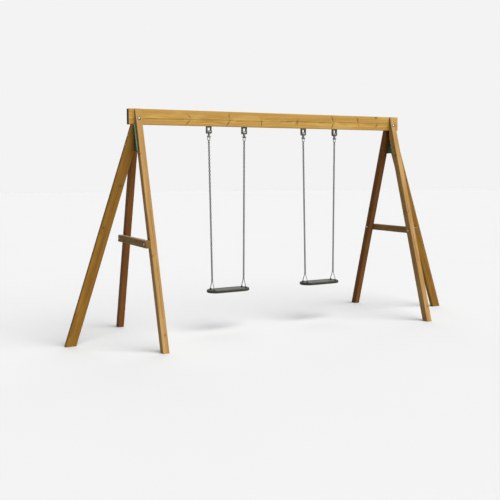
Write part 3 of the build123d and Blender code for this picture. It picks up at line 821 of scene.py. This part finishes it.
@dataclass
class TimberFrame:
    """Beam, four legs, two outriggers and two rungs, with their cuts."""

    crack: bpy.types.Material
    beam_length: float = 2.970
    beam_height: float = 0.140
    beam_thickness: float = 0.056
    beam_top: float = 2.080
    leg_width: float = 0.056
    leg_depth: float = 0.071
    leg_tip: float = 0.0105
    foot_spread: float = 1.335
    end_overhang: float = 0.056
    outrigger_width: float = 0.092
    outrigger_thickness: float = 0.045
    outrigger_tip: float = 0.023
    gusset_sheet: float = 0.004
    outrigger_reach: float = 0.606
    rung_level: float = 0.895
    rung_height: float = 0.065
    rung_thickness: float = 0.045
    apex_drop: float = 0.090
    apex_recess: float = 0.017
    frame_recess: float = 0.014
    outrigger_drops: tuple[float, ...] = (0.100, 0.180)
    washer: float = 0.0025
    recess_floor: float = 0.001
    hanger_x: tuple[float, ...] = (-0.700, -0.330, 0.330, 0.700)
    hanger_recess: float = 0.017
    hanger_recess_depth: float = 0.024
    clear_of_timber: float = 0.060

    @property
    def underside(self) -> float:
        """Level of the beam's underside."""
        return self.beam_top - self.beam_height

    @property
    def leg_face(self) -> float:
        """Distance of the legs' outer side faces from the middle."""
        return self.beam_length / 2 - self.end_overhang

    @property
    def gusset_face(self) -> float:
        """Distance of the gusset plates' outer faces from the middle."""
        return self.leg_face + self.gusset_sheet

    @property
    def frame_x(self) -> float:
        """Distance of the legs' middle from the middle."""
        return self.leg_face - self.leg_width / 2

    @property
    def leg_slope(self) -> float:
        """Run of a leg for each metre down."""
        return (self.foot_spread / 2 - self.beam_thickness / 2 - self.leg_tip) / self.beam_top

    @property
    def leg_run(self) -> float:
        """Depth of a leg, measured level."""
        return self.leg_depth * math.hypot(1, self.leg_slope)

    @property
    def outrigger_slope(self) -> float:
        """Run of an outrigger for each metre down."""
        toe = self.beam_length / 2 + self.outrigger_reach
        return (toe - self.gusset_face - self.outrigger_tip) / self.underside

    @property
    def outrigger_run(self) -> float:
        """Width of an outrigger, measured level."""
        return self.outrigger_width * math.hypot(1, self.outrigger_slope)

    def leg_outer(self, level: float) -> float:
        """Distance of a leg's outer face from the middle plane."""
        return self.beam_thickness / 2 + self.leg_tip + (self.beam_top - level) * self.leg_slope

    def outrigger_outer(self, level: float) -> float:
        """Distance of an outrigger's outer face from the middle."""
        drop = self.underside - level
        return self.gusset_face + self.outrigger_tip + drop * self.outrigger_slope

    def apex_seat(self) -> float:
        """Distance of the apex washers from the middle plane."""
        level = self.beam_top - self.apex_drop + self.apex_recess
        return self.leg_outer(level) - self.recess_floor

    def outrigger_seat(self, drop: float) -> float:
        """Distance of an outrigger bolt's washer from the middle."""
        return self.outrigger_outer(self.underside - drop + self.frame_recess) - self.recess_floor

    def finish_board(self, piece: bpy.types.Object, node: str, finish: Timber) -> None:
        """Dress a board and let it stand for its node.

        Args:
            piece: The board.
            node: Its node.
            finish: Its timber.
        """
        dress(piece, finish.material(), self.crack)
        stand_for(piece, node, "frame")

    def build_beam(self) -> None:
        """Build the beam, with its nut recesses on top."""
        middle = Vector((0, 0, self.beam_top - self.beam_height / 2))

        def section(x: float) -> tuple[Vector, float, float]:
            """Give the beam's section at x."""
            return middle + Vector((x, 0, 0)), self.beam_thickness / 2, self.beam_height / 2

        half = self.beam_length / 2
        board = Board(
            "beam", -half, half, section, Vector((0, 1, 0)), Vector((0, 0, 1)),
            checks=(
                DryingCheck(Side.DEPTH_MINUS, 0.20, -1.40, 0.15, 0.0012, 0.005),
                DryingCheck(Side.DEPTH_MINUS, 0.08, 0.02, 1.40, 0.0015, 0.005),
                DryingCheck(Side.DEPTH_PLUS, -0.20, -0.90, 0.95),
            ),
            side_steps=9,
        )
        piece = board.build()
        for x in self.hanger_x:
            foot = Vector((x, 0, self.beam_top - self.hanger_recess_depth))
            cut(piece, foot, Vector((0, 0, 1)), self.hanger_recess, self.clear_of_timber)
        front = -self.beam_thickness / 2
        knots = (
            Knot(-0.92, front, -0.042, 0.006, 0.028, 0.9),
            Knot(-0.905, front, 0.014, 0.005, 0.018, -0.8),
            Knot(-0.515, front, -0.046, 0.006, 0.026, 0.7), Knot(-0.50, front, 0.030, 0.005, 0.022),
            Knot(-0.155, front, -0.030, 0.005, 0.036), Knot(0.245, front, -0.012, 0.008, 0.022, 0.3),
            Knot(0.66, front, 0.034, 0.006, 0.034, -0.35), Knot(0.66, front, -0.034, 0.006, 0.036, 0.35),
            Knot(0.97, front, 0.024, 0.007, 0.028, -0.2), Knot(1.20, front, 0.060, 0.009),
            Knot(1.21, front, -0.020, 0.007, 0.018, 0.7),
            Knot(-0.55, -front, 0.01, 0.012), Knot(0.62, -front, -0.02, 0.011),
        )
        finish = Timber("timber_beam", (0.375, 0.228, 0.053), (0.22, 0.108, 0.019), middle,
                        Vector((1, 0, 0)), Vector((0, 1, 0)), Vector((0, 0, 1)),
                        (0.075, -0.02), 1.3, knots)
        self.finish_board(piece, "top_beam", finish)

    def build_legs(self) -> None:
        """Build the four legs, with the spot faces of the apex bolts."""
        lean = math.hypot(1, self.leg_slope)
        for number, (end, end_sign) in enumerate(ENDS):
            for face, face_sign in FACES:

                def section(z: float, s: int = face_sign, e: int = end_sign
                            ) -> tuple[Vector, float, float]:
                    """Give the leg's level section.

                    Args:
                        z: Its level.
                        s: Sign of the front or back.
                        e: Sign of the end.

                    Returns:
                        Its middle and its two half sizes.
                    """
                    outer = self.leg_outer(z)
                    inner = max(outer - self.leg_run, self.beam_thickness / 2)
                    middle = Vector((e * self.frame_x, s * (outer + inner) / 2, z))
                    return middle, (outer - inner) / 2, self.leg_width / 2

                knee = self.beam_top - (self.leg_run - self.leg_tip) / self.leg_slope
                near = Side.DEPTH_MINUS if face_sign < 0 else Side.DEPTH_PLUS
                board = Board(
                    f"{end}_{face}_leg_board", 0.0, self.beam_top, section,
                    Vector((0, 1, 0)), Vector((1, 0, 0)),
                    checks=(
                        DryingCheck(near, 0.2 * end_sign, 0.25 + 0.3 * number, 1.30),
                        DryingCheck(Side.WIDTH_PLUS, 0.1, 0.5, 1.55 - 0.2 * number),
                        DryingCheck(Side.WIDTH_MINUS, -0.15, 0.35, 1.4),
                    ),
                    stops=(knee,),
                )
                piece = board.build()
                seat = Vector((end_sign * self.frame_x, face_sign * self.apex_seat(),
                               self.beam_top - self.apex_drop))
                cut(piece, seat, Vector((0, face_sign, 0)), self.apex_recess, 0.08)
                along = Vector((0, -face_sign * self.leg_slope, 1)) / lean
                deep = Vector((0, 1, face_sign * self.leg_slope)) / lean
                origin = Vector((end_sign * self.frame_x, face_sign *
                                 (self.leg_outer(1.0) - self.leg_run / 2), 1.0))
                front = face_sign < 0
                surface = face_sign * self.leg_depth / 2
                knots = (
                    Knot(-0.90, surface, 0.006, 0.006),
                    Knot(-0.22 + 0.3 * number, surface, -0.022, 0.005, 0.014, 0.6),
                    Knot(0.10, 0.010, end_sign * -0.028, 0.007, 0.020, 0.3),
                    Knot(0.70, -0.012, -0.028, 0.006, 0.018, -0.4),
                )
                # The back legs are the same timber as the front legs; their darker, redder tone is
                # painted shade, as they face away from the front light.
                early = (0.31, 0.184, 0.056) if front else (0.152, 0.056, 0.007)
                late = (0.19, 0.093, 0.023) if front else (0.082, 0.026, 0.003)
                finish = Timber(f"timber_{end}_{face}_leg", early, late, origin, along, deep,
                                Vector((1, 0, 0)), (-face_sign * 0.05, 0.03 * end_sign),
                                4.0 + 3.1 * number + face_sign, knots)
                self.finish_board(piece, f"{end}_{face}_leg", finish)

    def build_outriggers(self) -> None:
        """Build the two outriggers, with the spot faces of their bolts."""
        lean = math.hypot(1, self.outrigger_slope)
        for number, (end, end_sign) in enumerate(ENDS):

            def section(z: float, e: int = end_sign) -> tuple[Vector, float, float]:
                """Give the outrigger's level section.

                Args:
                    z: Its level.
                    e: Sign of the end.

                Returns:
                    Its middle and its two half sizes.
                """
                outer = self.outrigger_outer(z)
                inner = max(outer - self.outrigger_run, self.gusset_face)
                middle = Vector((e * (outer + inner) / 2, 0, z))
                return middle, self.outrigger_thickness / 2, (outer - inner) / 2

            run = self.outrigger_run - self.outrigger_tip
            board = Board(
                f"{end}_outrigger_board", 0.0, self.underside, section,
                Vector((0, 1, 0)), Vector((1, 0, 0)),
                checks=(
                    DryingCheck(Side.DEPTH_MINUS, 0.12 * end_sign, 0.30, 1.50),
                    DryingCheck(Side.DEPTH_PLUS, -0.2, 0.6, 1.45),
                ),
                stops=(self.underside - run / self.outrigger_slope,), side_steps=8,
            )
            piece = board.build()
            for drop in self.outrigger_drops:
                seat = Vector((end_sign * self.outrigger_seat(drop), 0, self.underside - drop))
                cut(piece, seat, Vector((end_sign, 0, 0)), self.frame_recess, 0.09)
            along = Vector((-end_sign * self.outrigger_slope, 0, 1)) / lean
            wide = Vector((1, 0, end_sign * self.outrigger_slope)) / lean
            origin = Vector((end_sign * (self.outrigger_outer(1.0) - self.outrigger_run / 2),
                             0, 1.0))
            knots = (
                Knot(0.42, -0.0225, 0.020, 0.007, 0.018, 0.4),
                Knot(0.02 - 0.1 * number, -0.0225, -0.024, 0.008, 0.016, -0.5),
                Knot(-0.75, 0.0225, -0.010, 0.010),
            )
            finish = Timber(f"timber_{end}_outrigger", (0.190, 0.092, 0.008),
                            (0.112, 0.047, 0.004), origin, along, Vector((0, 1, 0)), wide,
                            (0.065, 0.02 * end_sign), 11.0 + 4.3 * number, knots)
            self.finish_board(piece, f"{end}_outrigger", finish)

    def build_rungs(self) -> None:
        """Build the two rungs, their ends cut along the legs' slopes."""
        for number, (end, end_sign) in enumerate(ENDS):
            x = end_sign * (self.leg_face + self.rung_thickness / 2)
            middle_reach = self.leg_outer(self.rung_level)

            def section(y: float, at: float = x) -> tuple[Vector, float, float]:
                """Give the rung's section at y."""
                middle = Vector((at, y, self.rung_level))
                return middle, self.rung_thickness / 2, self.rung_height / 2

            def slant(point: Vector, reach: float = middle_reach) -> Vector:
                """Stretch a level so that its ends meet the legs' faces."""
                scale = self.leg_outer(point.z) / reach
                return Vector((point.x, point.y * scale, point.z))

            board = Board(
                f"{end}_rung_board", -middle_reach, middle_reach, section,
                Vector((1, 0, 0)), Vector((0, 0, 1)),
                checks=(DryingCheck(
                    Side.DEPTH_MINUS if end_sign < 0 else Side.DEPTH_PLUS, 0.15, -0.25, 0.22),),
                warp=slant,
            )
            piece = board.build()
            outside = end_sign * self.rung_thickness / 2
            knots = (Knot(-0.14, outside, 0.010, 0.009), Knot(0.20, outside, -0.012, 0.007))
            # The rungs' end grain is lighter than the other boards': painted light, as their ends face
            # the front light.
            finish = Timber(f"timber_{end}_rung", (0.21, 0.120, 0.030), (0.12, 0.058, 0.012),
                            Vector((x, 0, self.rung_level)), Vector((0, 1, 0)),
                            Vector((1, 0, 0)), Vector((0, 0, 1)), (-outside * 2, 0.03),
                            21.0 + 2.7 * number, knots, end_colour=(0.12, 0.066, 0.014))
            self.finish_board(piece, f"{end}_rung", finish)

    def build(self) -> None:
        """Build every timber."""
        self.build_beam()
        self.build_legs()
        self.build_outriggers()
        self.build_rungs()


# Steel ----------------------------------------------------------------------------


@dataclass
class FrameSteel:
    """Dome-headed bolts, eased nuts, washers and screws, and the gusset plates."""

    timber: TimberFrame
    apex_bolt: float = 0.006
    frame_bolt: float = 0.005
    head: float = 0.010
    apex_head_height: float = 0.006
    frame_head_height: float = 0.005
    apex_nut: float = 0.010
    frame_nut: float = 0.008
    past_nut: float = 0.003
    thread_pitch: float = 0.0015
    thread_length: float = 0.018
    thread_root: float = 0.93
    tip_share: float = 0.86
    head_rim: float = 0.0008
    dome_steps: int = 10
    fine_edge: float = 0.0004
    sheet_edge: float = 0.0006

    def bolt_profile(self, radius: float, head: float, height: float,
                     length: float) -> list[tuple[float, float]]:
        """Outline a dome-headed bolt with a threaded, chamfered end.

        Args:
            radius: Radius of the shank.
            head: Radius of the head.
            height: Height of the dome.
            length: Length of the shank below the head.

        Returns:
            Radius and height pairs, from the top of the dome to the tip.
        """
        rim = self.head_rim
        dome = [(head * math.sin(a), rim + (height - rim) * math.cos(a))
                for a in (math.pi / 2 * n / self.dome_steps for n in range(self.dome_steps + 1))]
        outline = [(0.0, height)] + dome[1:] + [(head, 0.0), (radius, 0.0)]
        start = length - self.thread_length
        outline.append((radius, -start))
        turns = int(self.thread_length / self.thread_pitch) - 1
        for n in range(turns):
            level = start + n * self.thread_pitch
            outline.append((radius * self.thread_root, -level - self.thread_pitch / 2))
            outline.append((radius, -level - self.thread_pitch))
        outline.append((radius * self.tip_share, -length))
        outline.append((0.0, -length))
        return outline

    def apex_places(self) -> list[tuple[Vector, Vector, float]]:
        """Place the apex bolts.

        Returns:
            Each bolt's head seat, direction and length.
        """
        t = self.timber
        seat = t.apex_seat() + t.washer
        length = 2 * t.apex_seat() + 2 * t.washer + self.apex_nut + self.past_nut
        level = t.beam_top - t.apex_drop
        return [(Vector((s * t.frame_x, -seat, level)), Vector((0, -1, 0)), length)
                for _, s in ENDS]

    def rung_places(self) -> list[tuple[Vector, Vector, float]]:
        """Place the rung bolts.

        Returns:
            Each bolt's head seat, direction and length.
        """
        t = self.timber
        y = t.leg_outer(t.rung_level) - t.leg_run / 2
        x = t.leg_face + t.rung_thickness + t.washer
        length = (t.rung_thickness + t.leg_width + 2 * t.washer + self.frame_nut
                  + self.past_nut)
        return [(Vector((e * x, f * y, t.rung_level)), Vector((e, 0, 0)), length)
                for _, e in ENDS for _, f in FACES]

    def outrigger_places(self) -> list[tuple[Vector, Vector, float]]:
        """Place the outrigger bolts.

        Returns:
            Each bolt's head seat, direction and length.
        """
        t = self.timber
        places = []
        for _, sign in ENDS:
            for drop in t.outrigger_drops:
                seat = t.outrigger_seat(drop)
                grip = seat - t.leg_face
                length = grip + 2 * t.washer + self.frame_nut + self.past_nut
                foot = Vector((sign * (seat + t.washer), 0, t.underside - drop))
                places.append((foot, Vector((sign, 0, 0)), length))
        return places

    def build(self, steel: bpy.types.Material, washer_painted_shade: bpy.types.Material,
              green: bpy.types.Material) -> None:
        """Build the bolts and ease the other steel.

        Args:
            steel: Finish of the fasteners.
            washer_painted_shade: Finish of the washers.
            green: Finish of the gussets.
        """
        sets = (
            ("apex_bolts", self.apex_places(), self.apex_bolt, self.apex_head_height),
            ("rung_bolts", self.rung_places(), self.frame_bolt, self.frame_head_height),
            ("outrigger_bolts", self.outrigger_places(), self.frame_bolt,
             self.frame_head_height),
        )
        for node, places, radius, height in sets:
            mesh = bmesh.new()
            for foot, axis, length in places:
                lathe(mesh, self.bolt_profile(radius, self.head, height, length), foot, axis)
            piece = new_piece(f"{node}_domed", mesh, 50.0)
            dress(piece, steel)
            stand_for(piece, node, "frame")
        for node in ("apex_nuts", "rung_nuts", "outrigger_nuts", "gusset_screws"):
            ease_node(node, "frame", steel, self.fine_edge)
        # The washers take the dark chain zinc: painted shade, standing for the dark ring of shadow in
        # the recesses they sit in.
        for node in ("apex_washers", "rung_washers", "outrigger_washers"):
            ease_node(node, "frame", washer_painted_shade, self.fine_edge)
        for end, _ in ENDS:
            ease_node(f"{end}_gusset", "frame", green, self.sheet_edge)


@dataclass
class Hangers:
    """Brackets, axles and swinging eyes under the beam."""

    edge: float = 0.0006
    fine_edge: float = 0.0004

    def build(self, steel: bpy.types.Material, nylon: bpy.types.Material) -> None:
        """Ease and dress the hangers.

        Args:
            steel: Finish of the steel.
            nylon: Finish of the bushes.
        """
        for node in ("left_hanger_brackets", "right_hanger_brackets"):
            ease_node(node, "frame", steel, self.edge)
        for node in ("hanger_bolts", "hanger_washers", "hanger_nuts", "axle_bolts", "axle_nuts"):
            ease_node(node, "frame", steel, self.fine_edge)
        dress(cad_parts["axle_bushes"], nylon)
        for end, _ in ENDS:
            ease_node(f"{end}_hanger_eyes", f"{end}_hangers", steel, self.edge)
            ease_node(f"{end}_shackle_pins", f"{end}_chains", steel,
                      self.fine_edge)


@dataclass
class Swing:
    """One swing below its hangers: shackles, chains, bails and the rubber seat."""

    end: str
    sign: int
    centre: float = 0.515
    bail_half: float = 0.167
    foot_half: float = 0.042
    length: float = 0.435
    width: float = 0.175
    rim: float = 0.012
    edge: float = 0.009
    dish: float = 0.002
    nut_recess: float = 0.011
    nut_recess_depth: float = 0.010
    arc_steps: int = 40
    straight_steps: int = 20
    edge_steps: int = 6
    boss_edge: float = 0.0012
    nut_edge: float = 0.0003

    def outline(self, inset: float) -> list[tuple[float, float]]:
        """Outline the seat, which has round ends.

        Args:
            inset: How far the outline is drawn in.

        Returns:
            Its points, as x and y from the seat's middle.
        """
        radius = self.width / 2 - inset
        straight = self.length / 2 - self.width / 2
        points = []
        for side in (1, -1):
            for n in range(self.arc_steps + 1):
                angle = -math.pi / 2 + math.pi * n / self.arc_steps
                points.append((side * (straight + radius * math.cos(angle)),
                               side * radius * math.sin(angle)))
            for n in range(1, self.straight_steps):
                share = 1 - 2 * n / self.straight_steps
                points.append((side * straight * share, side * radius))
        return points

    def pad_levels(self, bottom: float, top: float) -> list[tuple[float, float]]:
        """List the pad's rings, from under its middle to the middle of its top.

        Args:
            bottom: Level of its underside.
            top: Level of its rim.

        Returns:
            Each ring's inset and level.
        """
        steps = self.edge_steps
        low = [(self.edge * (1 - math.sin(a)), bottom + self.edge * (1 - math.cos(a)))
               for a in (math.pi / 2 * n / steps for n in range(steps + 1))]
        high = [(self.edge * (1 - math.cos(a)), top - self.edge * (1 - math.sin(a)))
                for a in (math.pi / 2 * n / steps for n in range(steps + 1))]
        waist = (bottom + top) / 2
        seam = [(0.0, waist - 0.0008), (0.0006, waist - 0.0003), (0.0006, waist + 0.0003),
                (0.0, waist + 0.0008)]
        floor = top - self.dish
        step = [(self.rim - 0.0006, top), (self.rim, top - 0.0005),
                (self.rim + 0.0004, floor + 0.0005), (self.rim + 0.0012, floor)]
        middle = [(inset, floor) for inset in (0.030, 0.055)]
        under = [(inset, bottom) for inset in (0.055, 0.030)]
        return under + low + seam + high + step + middle

    def build_pad(self, finish: bpy.types.Material) -> None:
        """Build the moulded pad with its recesses below.

        Args:
            finish: Its rubber.
        """
        node = f"{self.end}_seat_pad"
        low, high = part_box(node)
        bottom, top = low.z, high.z
        mesh = bmesh.new()
        loft(mesh, [[(self.sign * self.centre + x, y, z) for x, y in self.outline(inset)]
                    for inset, z in self.pad_levels(bottom, top)])
        piece = new_piece(f"{node}_moulded", mesh, 40.0)
        for x in (-self.bail_half, self.bail_half):
            for y in (-self.foot_half, self.foot_half):
                foot = Vector((self.sign * self.centre + x, y, bottom + self.nut_recess_depth))
                cut(piece, foot, Vector((0, 0, -1)), self.nut_recess, 0.03)
        dress(piece, finish)
        stand_for(piece, node, f"{self.end}_seat")

    def build(self, steel: bpy.types.Material, chain: bpy.types.Material,
              rubber: bpy.types.Material, black: bpy.types.Material) -> None:
        """Build and dress the swing.

        Args:
            steel: Finish of the fittings.
            chain: Finish of the links.
            rubber: Finish of the pad.
            black: Finish of the bosses.
        """
        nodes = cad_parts
        for node in (f"{self.end}_shackles", f"{self.end}_seat_bails",
                     f"{self.end}_seat_insert"):
            dress(nodes[node], steel)
        for side in SIDES:
            dress(nodes[f"{self.end}_swing_{side}_chain"], chain)
        self.build_pad(rubber)
        body = f"{self.end}_seat"
        ease_node(f"{self.end}_seat_bosses", body, black, self.boss_edge)
        for part in ("washers", "nuts"):
            ease_node(f"{self.end}_seat_{part}", body, steel, self.nut_edge)


# Studio ---------------------------------------------------------------------------


@dataclass
class Studio:
    """Camera, soft lights, pale floor and pale surround."""

    eye: tuple[float, float, float] = (-3.5789, -6.5338, 1.4958)
    turn: float = 0.4773
    tilt: float = -0.0687
    roll: float = -0.0072
    lens: float = 54.365
    shift: tuple[float, float] = (-0.0136, -0.0492)
    floor_radius: float = 60.0
    front_from: tuple[float, float, float] = (0.28, -0.61, 0.74)
    front_power: float = 6.1
    back_from: tuple[float, float, float] = (0.42, 0.82, 0.38)
    back_power: float = 2.6
    light_spread: float = 64.0
    warm: Colour = (1.0, 0.985, 0.955)
    cool: Colour = (0.97, 0.985, 1.0)
    ambient: float = 0.20
    surround: float = 0.895

    def build_camera(self) -> None:
        """Build the camera."""
        data = bpy.data.cameras.new("camera")
        data.sensor_width = 36.0
        data.lens = self.lens
        data.shift_x, data.shift_y = self.shift
        data.clip_end = 200.0
        camera = bpy.data.objects.new("camera", data)
        ahead = Vector((math.sin(self.turn), math.cos(self.turn), 0)) * math.cos(self.tilt)
        ahead.z = math.sin(self.tilt)
        right = Vector((math.cos(self.turn), -math.sin(self.turn), 0))
        up = right.cross(ahead)
        right, up = (right * math.cos(self.roll) + up * math.sin(self.roll),
                     up * math.cos(self.roll) - right * math.sin(self.roll))
        axes = Matrix((right, up, -ahead)).transposed().to_4x4()
        camera.matrix_world = Matrix.Translation(self.eye) @ axes
        bpy.context.scene.collection.objects.link(camera)
        bpy.context.scene.camera = camera

    def add_light(self, name: str, source: tuple[float, float, float], power: float,
                  colour: Colour) -> None:
        """Add one large soft light, so far away that its rays are parallel.

        Args:
            name: Name of the light.
            source: Direction that it shines from.
            power: Its strength.
            colour: Its colour.
        """
        data = bpy.data.lights.new(name, "SUN")
        data.energy = power
        data.angle = math.radians(self.light_spread)
        data.color = colour
        light = bpy.data.objects.new(name, data)
        light.rotation_euler = Vector(source).to_track_quat("Z", "Y").to_euler()
        bpy.context.scene.collection.objects.link(light)

    def build_lights(self) -> None:
        """Build the soft front light, the weaker back light and the pale surround."""
        self.add_light("front_light", self.front_from, self.front_power, self.warm)
        self.add_light("back_light", self.back_from, self.back_power, self.cool)
        world = bpy.data.worlds.new("pale_surround")
        world.use_nodes = True
        tree = world.node_tree
        soft = tree.nodes["Background"]
        soft.inputs["Color"].default_value = (*self.cool, 1.0)
        soft.inputs["Strength"].default_value = self.ambient
        shown = tree.nodes.new("ShaderNodeBackground")
        shown.inputs["Color"].default_value = (1.0, 1.0, 1.0, 1.0)
        shown.inputs["Strength"].default_value = self.surround
        path = tree.nodes.new("ShaderNodeLightPath")
        mix = tree.nodes.new("ShaderNodeMixShader")
        tree.links.new(path.outputs["Is Camera Ray"], mix.inputs[0])
        tree.links.new(soft.outputs[0], mix.inputs[1])
        tree.links.new(shown.outputs[0], mix.inputs[2])
        tree.links.new(mix.outputs[0], tree.nodes["World Output"].inputs[0])
        bpy.context.scene.world = world
        bpy.context.scene.view_settings.view_transform = "Standard"

    def build_floor(self) -> None:
        """Build the pale floor."""
        mesh = bmesh.new()
        bmesh.ops.create_circle(mesh, cap_ends=True, segments=96, radius=self.floor_radius)
        floor = new_piece("floor", mesh)
        w = Wiring("pale_floor")
        cloud = w.noise(w.place, 0.8, 3.0)
        w.surface.inputs["IOR"].default_value = 1.0
        dress(floor, w.finish(w.blend(cloud, (0.462, 0.467, 0.476), (0.472, 0.477, 0.486)), 0.9))

    def build(self) -> None:
        """Build the studio."""
        self.build_camera()
        self.build_floor()
        self.build_lights()


def main() -> None:
    """Build the swing set and its studio."""
    logging.basicConfig(level=logging.INFO, format="%(name)s: %(message)s")
    steel = Galvanised("galvanised_fittings").material()
    worn = Galvanised("galvanised_hangers", (0.20, 0.205, 0.195), (0.07, 0.073, 0.068)).material()
    links = Galvanised("galvanised_links", (0.150, 0.154, 0.145), (0.050, 0.053, 0.049)).material()
    green = PowderCoat("green_powder_coat").material()
    rubber = Moulded("seat_rubber_skin", (0.019, 0.018, 0.012), (0.036, 0.034, 0.025)).material()
    black = Moulded("boss_rubber_skin", (0.016, 0.016, 0.016), (0.030, 0.030, 0.030)).material()
    nylon = Moulded("bush_nylon_skin", (0.74, 0.72, 0.64), (0.60, 0.58, 0.52), 0.4).material()
    # Near-black finish for the checks' inner faces, darker than the timber round them.
    crack = Moulded("check_faces_dark", (0.030, 0.014, 0.005), (0.060, 0.028, 0.010), 0.8, 500.0)
    timber = TimberFrame(crack.material())
    timber.build()
    # The chain zinc also dresses the washers, dark as painted shade for their recesses.
    FrameSteel(timber).build(steel, links, green)
    Hangers().build(worn, nylon)
    for end, sign in ENDS:
        Swing(end, sign).build(worn, links, rubber, black)
    Studio().build()


if __name__ == "__main__":
    main()
